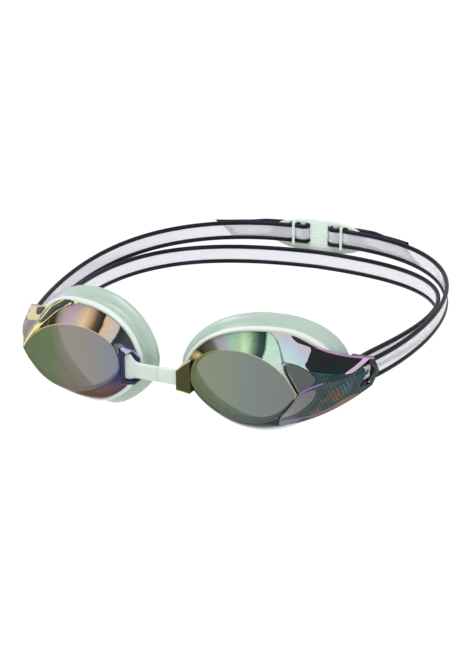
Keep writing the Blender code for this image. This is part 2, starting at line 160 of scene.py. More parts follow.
# The anchor: a pocket open to the rear, with a pin that the strap loops round.
PIN = (66.9, 34.6)
PIN_RADIUS = 0.75
POCKET_LOW = (64.0, 31.4, -6.85)
POCKET_HIGH = (70.3, 40.0, 2.25)
WINDOW_CENTRE = (71.6, 33.4, -2.3)
WINDOW_SIZE = (6.0, 2.6, 6.0)
WINDOW_TILT_DEG = -18.0

# The socket on the nose side of each cup, which grips one end of the bridge.
SOCKET_Y = (6.0, 11.0)
# Each section is x, the height of its foot, and of its top's front and back edges.
SOCKET_SECTIONS = {
    "left": [(8.3, -8.9, -2.1, -0.7), (11.0, -9.2, 0.4, 1.6), (14.0, -9.6, 2.6, 3.4)],
    "right": [(8.3, -9.9, -0.9, -0.9), (11.0, -10.3, 1.3, 1.3), (14.0, -10.6, 3.2, 3.2)],
}
MOUTHS = {
    "left": ((5.0, 6.7, -8.3), (12.9, 10.1, -1.5)),
    "right": ((5.0, 4.0, -9.3), (12.9, 10.1, 1.4)),
}

# Nose bridge sections: x, middle z, height, middle y.
BRIDGE_SECTIONS = [(0.0, -5.1, 5.7, 8.4), (5.0, -5.1, 5.8, 8.4), (8.4, -5.0, 6.0, 8.3)]
BRIDGE_ENDS = {
    "left": [(9.6, -4.9, 6.1, 8.1), (12.6, -4.9, 6.2, 8.1)],
    "right": [(9.6, -4.6, 7.0, 8.0), (10.4, -3.9, 9.4, 7.8), (12.6, -3.9, 9.6, 7.8)],
}
BRIDGE_THICKNESS = 1.7

# The strap: two round rails joined by a thin web, standing on edge.
STRAP_HEIGHT = 8.5
RAIL_HEIGHT = 1.9
RAIL_HALF_THICKNESS = 0.85
WEB_HALF_THICKNESS = 0.3
LOOP_RADIUS = 1.9
ANCHOR_Z = -2.3
LOOP_LEGS = {"lower": (65.0, 38.7), "upper": (69.3, 38.7)}
STRAND_START_Y = 39.0
LOWER_STRAND = {
    "start_x": 65.0, "heading_deg": -2.0, "handles": (15.0, 104.0),
    "back_z": -2.4, "sag": -0.6,
}
UPPER_STRAND = {
    "start_x": 69.4, "heading_deg": 20.0, "handles": (10.0, 106.0),
    "back_z": 8.2, "sag": 1.9,
}
BACK_Y = 158.0

# The rear clip, which follows the upper strand round its outer side.
CLIP_HALF_LENGTH = 22.5
CLIP_HEIGHT = 14.6
CLIP_THICKNESS = 1.8
CLIP_Z = 7.8
CLIP_GAP = 0.55
SLOT_X = 5.4
SLOT_WIDTH = 2.6
SLOT_HEIGHT = 9.6
KEEPER_X = 11.2
KEEPER_WIDTH = 1.1
KEEPER_THICKNESS = 0.5
KEEPER_LEG = 0.7
KEEPER_WINDOW = 5.2
STRAP_DIP = 1.0
DENT_PITCH = 1.45
DENT_SIZE = 0.85
DENT_DEPTH = 0.3
DENT_COLUMNS = 5
DENT_ROWS = 9
# The spare end comes out through the slot at TURN_X, and lies over the clip, then over
# the strand, at these distances from the strand's centre line.
TURN_X = 7.25
OVER_CLIP = 2 * RAIL_HALF_THICKNESS + 2 * CLIP_GAP + CLIP_THICKNESS
OVER_STRAND = 2 * RAIL_HALF_THICKNESS + 0.6
# Between these the spare end stretches as it slides.
# Where it ends, and how far the slanted cut carries its upper edge on.
TAIL_ENDS = {"left": (43.0, -7.4), "right": (39.6, 6.4)}


# ---------------------------------------------------------------- camera and studio

VIEW_AZIMUTH_DEG = 25.17
VIEW_ELEVATION_DEG = 18.92
VIEW_DISTANCE = 0.5512
VIEW_TARGET = (0.01495, 0.0238, 0.00955)
FOCAL_LENGTH = 82.4
SENSOR = 36.0
# The floor is low enough for the lower strands to swing down over it.
FLOOR_DROP = 0.06
FLOOR_HALF_SIDE = 6.0


def add_object(name, data):
    obj = bpy.data.objects.new(name, data)
    bpy.context.scene.collection.objects.link(obj)
    return obj


def build_camera():
    data = bpy.data.cameras.new("camera")
    data.sensor_fit = "VERTICAL"
    data.sensor_height = SENSOR
    data.lens = FOCAL_LENGTH
    camera = add_object("camera", data)
    turn, rise = math.radians(VIEW_AZIMUTH_DEG), math.radians(VIEW_ELEVATION_DEG)
    away = Vector((math.sin(turn) * math.cos(rise), -math.cos(turn) * math.cos(rise), math.sin(rise)))
    camera.location = Vector(VIEW_TARGET) + away * VIEW_DISTANCE
    camera.rotation_euler = away.to_track_quat("Z", "Y").to_euler()
    bpy.context.scene.camera = camera


def add_area_light(name, location, target, size, power):
    data = bpy.data.lights.new(name, "AREA")
    data.shape = "RECTANGLE"
    data.size, data.size_y = size
    data.energy = power
    light = add_object(name, data)
    light.location = location
    light.rotation_euler = (Vector(location) - Vector(target)).to_track_quat("Z", "Y").to_euler()


def build_studio():
    """A plain pale floor, an even pale surround and two large soft lights."""
    world = bpy.data.worlds.new("studio")
    world.use_nodes = True
    background = world.node_tree.nodes["Background"]
    background.inputs["Color"].default_value = (1.0, 1.0, 1.0, 1.0)
    background.inputs["Strength"].default_value = 0.95
    bpy.context.scene.world = world
    bpy.context.scene.view_settings.view_transform = "Standard"
    add_area_light("key", (-0.35, -0.25, 0.75), (0.0, 0.05, 0.0), (0.5, 0.3), 3.2)
    add_area_light("fill", (0.7, -0.3, 0.35), (0.0, 0.05, 0.0), (0.25, 0.5), 1.2)

    floor = bpy.data.meshes.new("floor")
    level = CAD_BOX[0][2] - FLOOR_DROP
    around = ((-1, -1), (1, -1), (1, 1), (-1, 1))
    corners = [(x * FLOOR_HALF_SIDE, y * FLOOR_HALF_SIDE, level) for x, y in around]
    floor.from_pydata(corners, [], [(0, 1, 2, 3)])
    made = Shader("pale_floor").set(
        Base_Color=(0.14, 0.14, 0.14, 1.0), Roughness=0.9, Specular_IOR_Level=0.1,
        Emission_Color=(1.0, 1.0, 1.0, 1.0), Emission_Strength=0.87,
    )
    floor.materials.append(made.material)
    add_object("floor", floor)


# ---------------------------------------------------------------- curves and lofts


def hermite(t, start, leave, end, arrive):
    """A point on the cubic that leaves start and arrives at end with these tangents."""
    return (
        (2 * t**3 - 3 * t**2 + 1) * start + (t**3 - 2 * t**2 + t) * leave
        + (3 * t**2 - 2 * t**3) * end + (t**3 - t**2) * arrive
    )


def smooth_closed(points, corner=None, per_span=16):
    """A Catmull-Rom curve through these points, with an optional sharp corner."""
    knots = np.array(points, float)
    tangents = (np.roll(knots, -1, axis=0) - np.roll(knots, 1, axis=0)) / 2
    curve = []
    for i in range(len(knots)):
        j = (i + 1) % len(knots)
        leave = knots[j] - knots[i] if i == corner else tangents[i]
        arrive = knots[j] - knots[i] if j == corner else tangents[j]
        for t in np.linspace(0, 1, per_span, endpoint=False):
            curve.append(hermite(t, knots[i], leave, knots[j], arrive))
    return np.array(curve)


def radius_at(points, corner, angles):
    """The outline's distance from the cup's centre at these angles."""
    curve = smooth_closed(points, corner) - OUTLINE_CENTRE
    known = np.arctan2(curve[:, 1], curve[:, 0])
    order = np.argsort(known)
    return np.interp(angles, known[order], np.hypot(*curve.T)[order], period=2 * math.pi)


def outline(points, count, grow=0.0, corner=None):
    """count (x, z) points at even angles round the cup's centre, moved out by grow."""
    first = math.atan2(*(np.array(FACE_CORNER) - OUTLINE_CENTRE)[::-1])
    angles = np.linspace(0, 2 * math.pi, count, endpoint=False) + first
    radii = radius_at(points, corner, angles) + grow
    return np.column_stack([np.cos(angles) * radii, np.sin(angles) * radii]) + OUTLINE_CENTRE


def outward_from_centre(flat):
    """The direction of each (x, z) point from the cup's centre."""
    away = flat - OUTLINE_CENTRE
    return away / np.hypot(*away.T)[:, None]


def inner_outline(count, grow):
    """The wall's outline moved out by grow, and pulled in at the temple."""
    flat = outline(WALL_OUTLINE, count, grow)
    outward = outward_from_centre(flat)
    return flat - outward * np.clip(1.5 * outward[:, :1] - 0.3, 0, 1) * TEMPLE_THICKENING


def on_plane(flat, plane, back=0.0):
    """(x, y, z) of (x, z) points laid on one of the cup's planes."""
    y0, per_x, per_z = plane
    y = y0 + per_x * (flat[:, 0] - 35) + per_z * flat[:, 1] + back
    return np.column_stack([flat[:, 0], y, flat[:, 1]])


def quadratic(points, t):
    """A point on the smooth curve through start, middle and end."""
    start, middle, end = (np.array(p, float) for p in points)
    return start * (1 - t) * (1 - 2 * t) + middle * 4 * t * (1 - t) + end * t * (2 * t - 1)


def squircle(half_wide, half_tall, wide_power, tall_power):
    """(wide, tall) points of a rounded rectangle, squarer the smaller the powers are."""
    points = []
    for a in np.linspace(0, 2 * math.pi, 40, endpoint=False):
        c, s = math.cos(a), math.sin(a)
        wide = math.copysign(abs(c) ** wide_power, c) * half_wide
        tall = math.copysign(abs(s) ** tall_power, s) * half_tall
        points.append((wide, tall))
    return points


def loft(rings, hoop=False):
    """Vertices and faces through these rings, with the two caps first unless it's a hoop."""
    count = len(rings[0])
    vertices = [tuple(map(float, point)) for ring in rings for point in ring]
    faces = []
    if not hoop:
        faces = [tuple(range(count)), tuple(range(len(vertices) - count, len(vertices)))]
    for i in range(len(rings) if hoop else len(rings) - 1):
        low, high = i * count, (i + 1) % len(rings) * count
        for j in range(count):
            k = (j + 1) % count
            faces.append((low + j, low + k, high + k, high + j))
    return vertices, faces


def add_mesh(name, vertices, faces, sign, materials, indices=None, sharp_deg=35.0):
    """A smooth-shaded mesh from millimetre points; sign -1 mirrors them in X = 0."""
    points = (np.array(vertices, float) - ORIGIN) * (sign, 1, 1) * MM
    mesh = bpy.data.meshes.new(name)
    mesh.from_pydata(points.tolist(), [], faces)
    for made in materials:
        mesh.materials.append(made)
    if indices is not None:
        mesh.polygons.foreach_set("material_index", indices)
    work = bmesh.new()
    work.from_mesh(mesh)
    bmesh.ops.recalc_face_normals(work, faces=work.faces)
    work.to_mesh(mesh)
    work.free()
    mesh.shade_smooth()
    mesh.set_sharp_from_angle(angle=math.radians(sharp_deg))
    return add_object(name, mesh)


def box_mesh(low, high):
    """Vertices and faces of an upright box."""
    vertices = [(x, y, z) for x in (low[0], high[0]) for y in (low[1], high[1]) for z in (low[2], high[2])]
    faces = [(0, 1, 3, 2), (4, 6, 7, 5), (0, 4, 5, 1), (2, 3, 7, 6), (0, 2, 6, 4), (1, 5, 7, 3)]
    return vertices, faces


def add_box(name, low, high, sign, materials=(), round_mm=0.0, turn_deg=0.0):
    """A box, with its edges rounded and turned about the X line through its centre."""
    centre = (np.array(low) + np.array(high)) / 2
    vertices, faces = box_mesh(np.array(low) - centre + ORIGIN, np.array(high) - centre + ORIGIN)
    obj = add_mesh(name, vertices, faces, 1, materials)
    obj.location = (centre - ORIGIN) * (sign, 1, 1) * MM
    obj.rotation_euler = (math.radians(turn_deg), 0, 0)
    if round_mm:
        bevel = obj.modifiers.new("round", "BEVEL")
        bevel.width = round_mm * MM
        bevel.segments = 4
    return obj


def combine(obj, other, operation):
    modifier = obj.modifiers.new(other.name, "BOOLEAN")
    modifier.operation = operation
    modifier.solver = "EXACT"
    modifier.object = other
    modifier.material_mode = "TRANSFER"


def settle(obj, helpers=(), sharp_deg=35.0):
    """Applies the modifiers and the object's place to its mesh, and drops the helpers."""
    bpy.context.view_layer.update()
    graph = bpy.context.evaluated_depsgraph_get()
    mesh = bpy.data.meshes.new_from_object(obj.evaluated_get(graph))
    mesh.transform(obj.matrix_world)
    obj.modifiers.clear()
    obj.data = mesh
    obj.location = (0, 0, 0)
    obj.rotation_euler = (0, 0, 0)
    mesh.shade_smooth()
    mesh.set_sharp_from_angle(angle=math.radians(sharp_deg))
    for helper in helpers:
        bpy.data.objects.remove(helper)


def place(obj, body, slot, *replaced):
    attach(obj, body)
    if replaced:
        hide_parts(*replaced)


def bend(obj, replaced):
    """Bakes the piece's place into its mesh and hides the CAD part that it replaces."""
    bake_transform(obj)
    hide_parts(replaced)


# ---------------------------------------------------------------- materials


def linear(colour):
    """A colour given as 0 to 255 display values, as the shaders count it."""
    return tuple(((c / 255 + 0.055) / 1.055) ** 2.4 if c > 10 else c / 255 / 12.92 for c in colour)


class Shader:
    """A node material, with a few shorthands for what the goggles need."""

    def __init__(self, name):
        self.material = bpy.data.materials.new(name)
        self.material.use_nodes = True
        self.tree = self.material.node_tree
        self.main = self.tree.nodes["Principled BSDF"]
        self.output = self.tree.nodes["Material Output"]
        self.place = None

    def set(self, **values):
        for name, value in values.items():
            self.main.inputs[name.replace("_", " ")].default_value = value
        return self

    def node(self, kind, **settings):
        made = self.tree.nodes.new(kind)
        for name, value in settings.items():
            setattr(made, name, value)
        return made

    def link(self, source, target):
        self.tree.links.new(source, target)

    def position(self):
        """The point's place in the frame, in metres."""
        if self.place is None:
            self.place = self.node("ShaderNodeTexCoord").outputs["Object"]
        return self.place

    def axis(self, letter):
        split = self.node("ShaderNodeSeparateXYZ")
        self.link(self.position(), split.inputs[0])
        return split.outputs[letter]

    def math(self, operation, first, second=None):
        made = self.node("ShaderNodeMath", operation=operation)
        for socket, value in zip(made.inputs, (first, second)):
            if isinstance(value, (int, float)):
                socket.default_value = value
            elif value is not None:
                self.link(value, socket)
        return made.outputs[0]

    def spread(self, value, low, high):
        """value from low..high to 0..1."""
        made = self.node("ShaderNodeMapRange")
        self.link(value, made.inputs["Value"])
        made.inputs["From Min"].default_value = low
        made.inputs["From Max"].default_value = high
        return made.outputs["Result"]

    def ramp(self, value, stops):
        """A colour ramp with stops of (0..1, display colour)."""
        made = self.node("ShaderNodeValToRGB")
        elements = made.color_ramp.elements
        while len(elements) < len(stops):
            elements.new(0.5)
        for element, (at, colour) in zip(elements, stops):
            element.position = at
        for element, (at, colour) in zip(elements, stops):
            element.color = (*linear(colour), 1.0)
        self.link(value, made.inputs["Fac"])
        return made.outputs["Color"]

    def bands(self, value, stops, unit, zero=0.0):
        """Colours at stops along the value, which is unit times the stop less zero."""
        low, high = stops[0][0], stops[-1][0]
        share = self.spread(value, (low - zero) * unit, (high - zero) * unit)
        return self.ramp(share, [((at - low) / (high - low), colour) for at, colour in stops])

    def noise(self, scale, stretch=(1, 1, 1), detail=3.0):
        mapping = self.node("ShaderNodeMapping")
        mapping.inputs["Scale"].default_value = stretch
        self.link(self.position(), mapping.inputs["Vector"])
        made = self.node("ShaderNodeTexNoise")
        made.inputs["Scale"].default_value = scale
        made.inputs["Detail"].default_value = detail
        self.link(mapping.outputs[0], made.inputs["Vector"])
        return made.outputs["Fac"]

    def vary(self, colour, noise, depth):
        """colour made darker or lighter by up to depth with the noise."""
        value = self.math("ADD", self.math("MULTIPLY", noise, 2 * depth), 1 - depth)
        made = self.node("ShaderNodeMix", data_type="RGBA", blend_type="MULTIPLY")
        made.inputs["Factor"].default_value = 1.0
        self.link(colour, made.inputs["A"])
        grey = self.node("ShaderNodeCombineColor")
        for channel in ("Red", "Green", "Blue"):
            self.link(value, grey.inputs[channel])
        self.link(grey.outputs[0], made.inputs["B"])
        return made.outputs["Result"]

    def plain(self, colour):
        made = self.node("ShaderNodeRGB")
        made.outputs[0].default_value = (*linear(colour), 1.0)
        return made.outputs[0]

    def see_through(self, share, tint=(1.0, 1.0, 1.0, 1.0)):
        """Lets this share of the light straight through, tinted."""
        clear = self.node("ShaderNodeBsdfTransparent")
        clear.inputs["Color"].default_value = tint
        mix = self.node("ShaderNodeMixShader")
        mix.inputs[0].default_value = share
        self.link(self.main.outputs[0], mix.inputs[1])
        self.link(clear.outputs[0], mix.inputs[2])
        self.link(mix.outputs[0], self.output.inputs["Surface"])
        return self

    def paint(self, colour):
        self.link(colour, self.main.inputs["Base Color"])
        return self

    def bump(self, height, strength, distance_mm):
        made = self.node("ShaderNodeBump")
        made.inputs["Strength"].default_value = strength
        made.inputs["Distance"].default_value = distance_mm * MM
        self.link(height, made.inputs["Height"])
        self.link(made.outputs[0], self.main.inputs["Normal"])
        return self


# The coating's colour round each cup's wall, with painted reflections of bright lights and
# dark surroundings as its sharp bright and dark bands, by degrees about the cup's centre:
# 0 is the temple end, 90 the top and 180 the nose end.
WALL_COLOURS_AND_REFLECTIONS = {
    "left": [
        (-180, (84, 88, 62)), (-140, (82, 92, 64)), (-112, (98, 100, 76)), (-96, (84, 94, 78)),
        (-72, (66, 88, 90)), (-45, (70, 74, 84)), (-25, (70, 62, 74)), (20, (70, 82, 84)),
        (48, (196, 216, 208)), (71, (186, 224, 196)), (72.5, (44, 62, 58)), (80, (56, 80, 76)),
        (87, (112, 140, 118)), (93, (170, 200, 162)), (99, (194, 224, 180)), (106, (168, 196, 160)),
        (117, (156, 192, 178)), (123, (164, 170, 176)), (131, (160, 160, 166)), (136, (100, 102, 94)),
        (147, (82, 78, 50)), (151, (34, 36, 36)), (154, (214, 190, 128)), (159, (228, 200, 140)),
        (163, (60, 58, 40)), (171, (62, 64, 30)), (180, (84, 88, 62)),
    ],
    "right": [
        (-180, (60, 64, 84)), (-164, (66, 64, 88)), (-150, (104, 84, 104)), (-132, (122, 94, 90)),
        (-108, (128, 96, 78)), (-90, (140, 120, 98)), (-70, (150, 138, 108)), (-55, (116, 124, 94)),
        (-10, (112, 124, 96)), (8, (226, 212, 150)), (26, (214, 196, 138)), (29, (30, 38, 24)),
        (38, (46, 50, 36)), (43, (120, 118, 84)), (46, (56, 62, 48)), (56, (72, 76, 60)),
        (63, (150, 142, 130)), (71, (180, 162, 162)), (79, (196, 160, 182)), (88, (184, 172, 176)),
        (98, (202, 180, 160)), (107, (222, 190, 154)), (115, (186, 156, 120)), (122, (92, 76, 62)),
        (131, (32, 34, 36)), (132.5, (214, 182, 150)), (141, (206, 188, 172)), (149, (190, 188, 182)),
        (150.5, (40, 50, 48)), (163, (66, 72, 78)), (180, (60, 64, 84)),
    ],
}
# The colour of the face's fine bevelled edge, counted the same way: a painted highlight
# along its top and painted shade round the rest.
EDGE_HIGHLIGHT_AND_SHADE = {
    "left": [
        (-180, (70, 72, 44)), (-130, (78, 84, 60)), (-100, (70, 88, 76)), (-60, (56, 62, 80)),
        (-20, (40, 40, 62)), (9, (36, 36, 44)), (13, (200, 190, 150)), (60, (190, 186, 146)),
        (120, (170, 168, 120)), (165, (120, 116, 60)), (180, (70, 72, 44)),
    ],
    "right": [
        (-180, (60, 70, 110)), (-150, (90, 70, 100)), (-120, (130, 84, 70)), (-80, (140, 104, 84)),
        (-30, (120, 126, 96)), (0, (120, 120, 84)), (20, (206, 190, 130)), (90, (190, 176, 132)),
        (130, (200, 176, 130)), (160, (120, 116, 104)), (180, (60, 70, 110)),
    ],
}
INSIDE_TINTS = {"left": (52, 62, 34), "right": (108, 140, 80)}
# The face's tint along X, in millimetres from the goggles' middle.
FACE_TINTS = {
    "left": [(14, (126, 136, 100)), (26, (120, 134, 110)), (36, (106, 126, 120)), (50, (104, 110, 114))],
    "right": [
        (-55, (116, 134, 98)), (-43, (122, 138, 104)), (-37, (144, 138, 122)), (-27, (140, 136, 130)),
        (-14, (112, 126, 156)),
    ],
}

# How far the bands lean from the face's edge to the rim. That depth is BAND_DEPTH, more
# towards the temple by BAND_SLOPE.
BAND_LEAN_DEG = {"left": 18.0, "right": -17.0}
BAND_DEPTH = 12.5
BAND_SLOPE = 0.2


def wall_material(name, side, sign, all_bands):
    """Mirror coating whose interference colours run round the cup, with painted reflections, highlights and
    shade among them.
    """
    made = Shader(name).set(Metallic=0.8, Roughness=0.07, Specular_IOR_Level=0.2)
    made.set(Specular_Tint=(0.25, 0.25, 0.25, 1.0))
    out = made.math("MULTIPLY", made.axis("X"), float(sign))
    out = made.math("SUBTRACT", out, (OUTLINE_CENTRE[0] - ORIGIN[0]) * MM)
    up = made.math("SUBTRACT", made.axis("Z"), (OUTLINE_CENTRE[1] - ORIGIN[2]) * MM)
    angle = made.math("ARCTAN2", up, out)
    back = made.math("SUBTRACT", made.axis("Y"), (FACE_PLANE[0] - ORIGIN[1]) * MM)
    back = made.math("SUBTRACT", back, made.math("MULTIPLY", out, BAND_SLOPE))
    depth = made.math("DIVIDE", back, BAND_DEPTH * MM)
    lean = made.math("MULTIPLY", made.math("SUBTRACT", depth, 0.5), -math.radians(BAND_LEAN_DEG[side]))
    streaks = made.noise(420, (1, 0.15, 2.2), 4.0)
    wobble = made.math("MULTIPLY", made.math("SUBTRACT", streaks, 0.5), 0.05)
    turn = made.math("ADD", made.math("ADD", angle, lean), wobble)
    tint = made.bands(turn, all_bands[side], math.radians(1))
    return made.paint(made.vary(tint, streaks, 0.12)).material


def face_material(side):
    """A half-silvered front: part mirror, part tinted window on what lies behind."""
    made = Shader(f"{side}_mirror_face").set(Metallic=1.0, Roughness=0.05)
    tint = made.bands(made.axis("X"), FACE_TINTS[side], MM)
    made.paint(made.vary(tint, made.noise(90, (1, 1, 0.3), 1.0), 0.04))
    return made.see_through(0.40, (0.30, 0.29, 0.27, 1.0)).material


def pane_material():
    """The uncoated back of the front, which shows only a faint gloss."""
    made = Shader("lens_pane").set(Roughness=0.05, Base_Color=(0.6, 0.65, 0.6, 1.0))
    return made.see_through(0.96).material


def inner_material(side):
    """The cup's inside, uncoated smoky plastic."""
    made = Shader(f"{side}_lens_inside").set(Roughness=0.2)
    return made.paint(made.vary(made.plain(INSIDE_TINTS[side]), made.noise(120), 0.10)).material


def gloss_material(name, colour, metallic):
    """One plain colour, faintly streaked: for most pieces the mirror coating's own, for the socket tops and
    the ridge a painted highlight.
    """
    made = Shader(name).set(Metallic=metallic, Roughness=0.12)
    made.set(Specular_IOR_Level=0.3, Specular_Tint=(0.6, 0.6, 0.6, 1.0))
    return made.paint(made.vary(made.plain(colour), made.noise(300, (1, 0.3, 1)), 0.1)).material


def dark_gloss(name, colour):
    """Dark and glossy: no metal in it, and only a weak reflection."""
    made = Shader(name).set(Roughness=0.16, Specular_IOR_Level=0.14)
    return made.paint(made.vary(made.plain(colour), made.noise(260, (1, 0.3, 1)), 0.3)).material


# The wing's colour from the cup to the anchor, by millimetres of depth behind the face.
WING_BANDS = {
    "left": [
        (6, (200, 226, 212)), (10, (192, 216, 212)), (14, (182, 204, 214)), (17, (184, 190, 206)),
        (19.5, (196, 184, 184)), (23.5, (208, 184, 162)), (26, (60, 70, 76)), (30, (44, 66, 70)),
        (37, (66, 56, 52)),
    ],
    "right": [
        (6, (212, 196, 138)), (12, (224, 206, 146)), (20, (236, 220, 158)), (27, (240, 226, 168)),
        (32, (226, 214, 160)), (37, (150, 150, 124)),
    ],
}
FOOT_BANDS = {
    "left": [(14, (84, 88, 104)), (22, (96, 84, 100)), (28, (122, 100, 80)), (37, (88, 70, 60))],
    "right": [(14, (110, 90, 84)), (26, (150, 130, 96)), (37, (120, 104, 76))],
}
# The moulded grip texture: the net, and its cells from dull to bright.
GRIP_NETS = {"left": (20, 44, 50), "right": (26, 30, 24)}
GRIP_CELLS = {
    "left": {
        "grip": ((30, 64, 70), (46, 82, 84), (84, 84, 74)),
        "copper": ((38, 68, 70), (88, 82, 64), (150, 98, 66)),
        "cyan": ((30, 84, 96), (40, 110, 128), (66, 132, 146)),
    },
    "right": {
        "grip": ((60, 62, 44), (120, 112, 76), (170, 156, 104)),
        "copper": ((110, 98, 60), (180, 150, 84), (214, 184, 110)),
    },
}
# Plain coatings, each with how metallic it is, then the dark glossy ones. Where a colour
# differs between the two sides, the difference is a painted reflection; the socket tops
# and the ridge are painted highlights.
COATS = {
    "left": {
        "window_1": ((84, 90, 86), 0.4), "window_2": ((104, 102, 104), 0.4),
        # The ridge's colour is a painted highlight.
        "ridge": ((176, 130, 176), 0.6), "bar": ((206, 170, 206), 0.5),
        "crease": ((150, 110, 190), 0.6), "edge_line": ((96, 104, 60), 0.6),
        "seam": ((36, 100, 100), 0.6), "socket": ((66, 66, 36), 0.4),
        # The socket's top is a painted highlight.
        "socket_top": ((190, 200, 196), 0.6), "glint": ((176, 176, 60), 0.6),
        "mouth": ((40, 44, 36), 0.3),
    },
    "right": {
        "window_1": ((238, 226, 156), 0.4), "window_2": ((130, 134, 104), 0.4),
        "grey_facet": ((126, 119, 110), 0.5), "crease": ((214, 200, 140), 0.6),
        "edge_line": ((206, 196, 120), 0.6), "seam": ((206, 200, 110), 0.6),
        # The socket's top is a painted highlight.
        "socket": ((44, 48, 70), 0.4), "socket_top": ((176, 178, 216), 0.6),
        "mouth": ((70, 74, 110), 0.3),
    },
}
DARK_COATS = {
    "left": {
        # The left panel's near black is a painted dark reflection.
        "anchor": (44, 34, 32), "root": (24, 24, 26), "black_panel": (18, 24, 28),
        "streak": (28, 22, 40),
    },
    # The right wing's ellipse is a painted dark reflection.
    "right": {"anchor": (22, 32, 32), "ellipse": (16, 26, 26), "black_strip": (34, 46, 44)},
}


def honeycomb(made, colour, dot, scale):
    """Small cells in a darker net over the colour, as moulded grip texture."""
    cells = made.node("ShaderNodeTexVoronoi", feature="DISTANCE_TO_EDGE")
    cells.inputs["Scale"].default_value = scale
    cells.inputs["Randomness"].default_value = 0.25
    made.link(made.position(), cells.inputs["Vector"])
    inside = made.spread(cells.outputs["Distance"], 0.10, 0.22)
    mix = made.node("ShaderNodeMix", data_type="RGBA")
    made.link(inside, mix.inputs["Factor"])
    made.link(colour, mix.inputs["A"])
    made.link(dot, mix.inputs["B"])
    made.bump(inside, 0.5, 0.12)
    return mix.outputs["Result"]


def banded_material(name, stops, metallic=0.7):
    """A mirror coating that changes colour with depth behind the face."""
    made = Shader(name).set(Metallic=metallic, Roughness=0.09, Specular_Tint=(0.6, 0.6, 0.6, 1.0))
    streaks = made.noise(300, (1, 0.4, 2.0), 4.0)
    wobble = made.math("MULTIPLY", made.math("SUBTRACT", streaks, 0.5), 2.0 * MM)
    tint = made.bands(made.math("ADD", made.axis("Y"), wobble), stops, MM, ORIGIN[1])
    return made.paint(made.vary(tint, streaks, 0.1)).material


def grip_material(name, net, cells):
    """Moulded grip texture: a dark net with lighter cells in it."""
    made = Shader(name).set(Metallic=0.4, Roughness=0.25, Specular_Tint=(0.5, 0.5, 0.5, 1.0))
    blotch = made.spread(made.noise(200, (1, 1, 1), 2.0), 0.40, 0.62)
    cell = made.ramp(blotch, [(0.0, cells[0]), (0.5, cells[1]), (1.0, cells[2])])
    return made.paint(honeycomb(made, made.plain(net), cell, 1050)).material


def silicone_material(name, colour, transmission, roughness=0.32):
    made = Shader(name).set(Roughness=roughness, Transmission_Weight=transmission, IOR=1.41)
    made.set(Subsurface_Weight=0.35, Subsurface_Radius=(1.0, 1.0, 0.9), Subsurface_Scale=0.002)
    made.paint(made.vary(made.plain(colour), made.noise(180), 0.05))
    return made.bump(made.noise(2500), 0.08, 0.02).material


def rail_material():
    """Dark rails with a purple sheen and fine cross ribs."""
    made = Shader("strap_rail").set(Roughness=0.34, Specular_IOR_Level=0.16)
    blotch = made.noise(60, (1, 1, 1), 1.0)
    made.paint(made.ramp(blotch, [(0.38, (11, 7, 13)), (0.68, (31, 16, 42))]))
    return made.bump(made.noise(1800), 0.15, 0.03).material


def joint_material():
    """Invisible, for the ends at which one run of strap carries on into the next."""
    made = Shader("strap_joint")
    clear = made.node("ShaderNodeBsdfTransparent")
    made.link(clear.outputs[0], made.output.inputs["Surface"])
    return made.material


def web_material():
    """The strap's clear web, with fine ribs along it."""
    made = Shader("strap_web").set(Roughness=0.1, Transmission_Weight=0.64, IOR=1.41)
    made.paint(made.vary(made.plain((242, 244, 249)), made.noise(400, (0.3, 0.3, 4)), 0.05))
    return made.bump(made.noise(900, (0.2, 0.2, 5)), 0.12, 0.03).material


# ---------------------------------------------------------------- the lens cups


def bulge_at(depth, degrees):
    """How far the wall stands out from a straight line between its two edges."""
    flank = np.clip((62 - np.abs(degrees)) / 24, 0, 1)
    return (WALL_BULGE - FLANK_HOLLOW * flank) * 4 * depth * (1 - depth)


def build_shell(side, sign, looks):
    """The cup's face, wall, rear edge and cavity, as one closed skin."""

    def face(grow, back=0.0):
        return on_plane(outline(FACE_OUTLINE, LENS_POINTS, grow, CORNER), FACE_PLANE, back)

    wall = outline(WALL_OUTLINE, LENS_POINTS)
    outward = outward_from_centre(wall)
    turn = np.degrees(np.arctan2(outward[:, 1], outward[:, 0]))
    edge, rear = face(0.0, 0.35), on_plane(wall, WALL_PLANE)
    rings = [face(-0.4), face(-0.1, 0.05), edge]
    for t in np.arange(1, WALL_STEPS) / WALL_STEPS:
        ring = edge + (rear - edge) * t
        ring[:, [0, 2]] += outward * bulge_at(t, turn)[:, None]
        rings.append(ring)
    thin = np.clip(0.5 + 0.7 * np.cos(np.radians(turn - THIN_DEG)), 0, 1)[:, None] * THINNING
    front = outline(FACE_OUTLINE, LENS_POINTS, -CAVITY_INSET) + outward * thin
    rings += [
        rear,
        on_plane(inner_outline(LENS_POINTS, -WALL_THICKNESS), WALL_PLANE),
        on_plane(front, FACE_PLANE, FACE_THICKNESS + 0.4),
        on_plane(front - outward * 0.3, FACE_PLANE, FACE_THICKNESS),
    ]
    coats = [looks[name] for name in ("face", "wall", "inside", "pane", "edge")]
    strips = [4] + [1] * (WALL_STEPS + 1) + [2] * 3
    zones = [0, 3] + [coat for coat in strips for _ in range(LENS_POINTS)]
    shell = add_mesh(f"{side}_cup_shell", *loft(rings), sign, coats, zones, 28.0)
    place(shell, f"{side}_cup", "mirror_lens", f"{side}_lens")


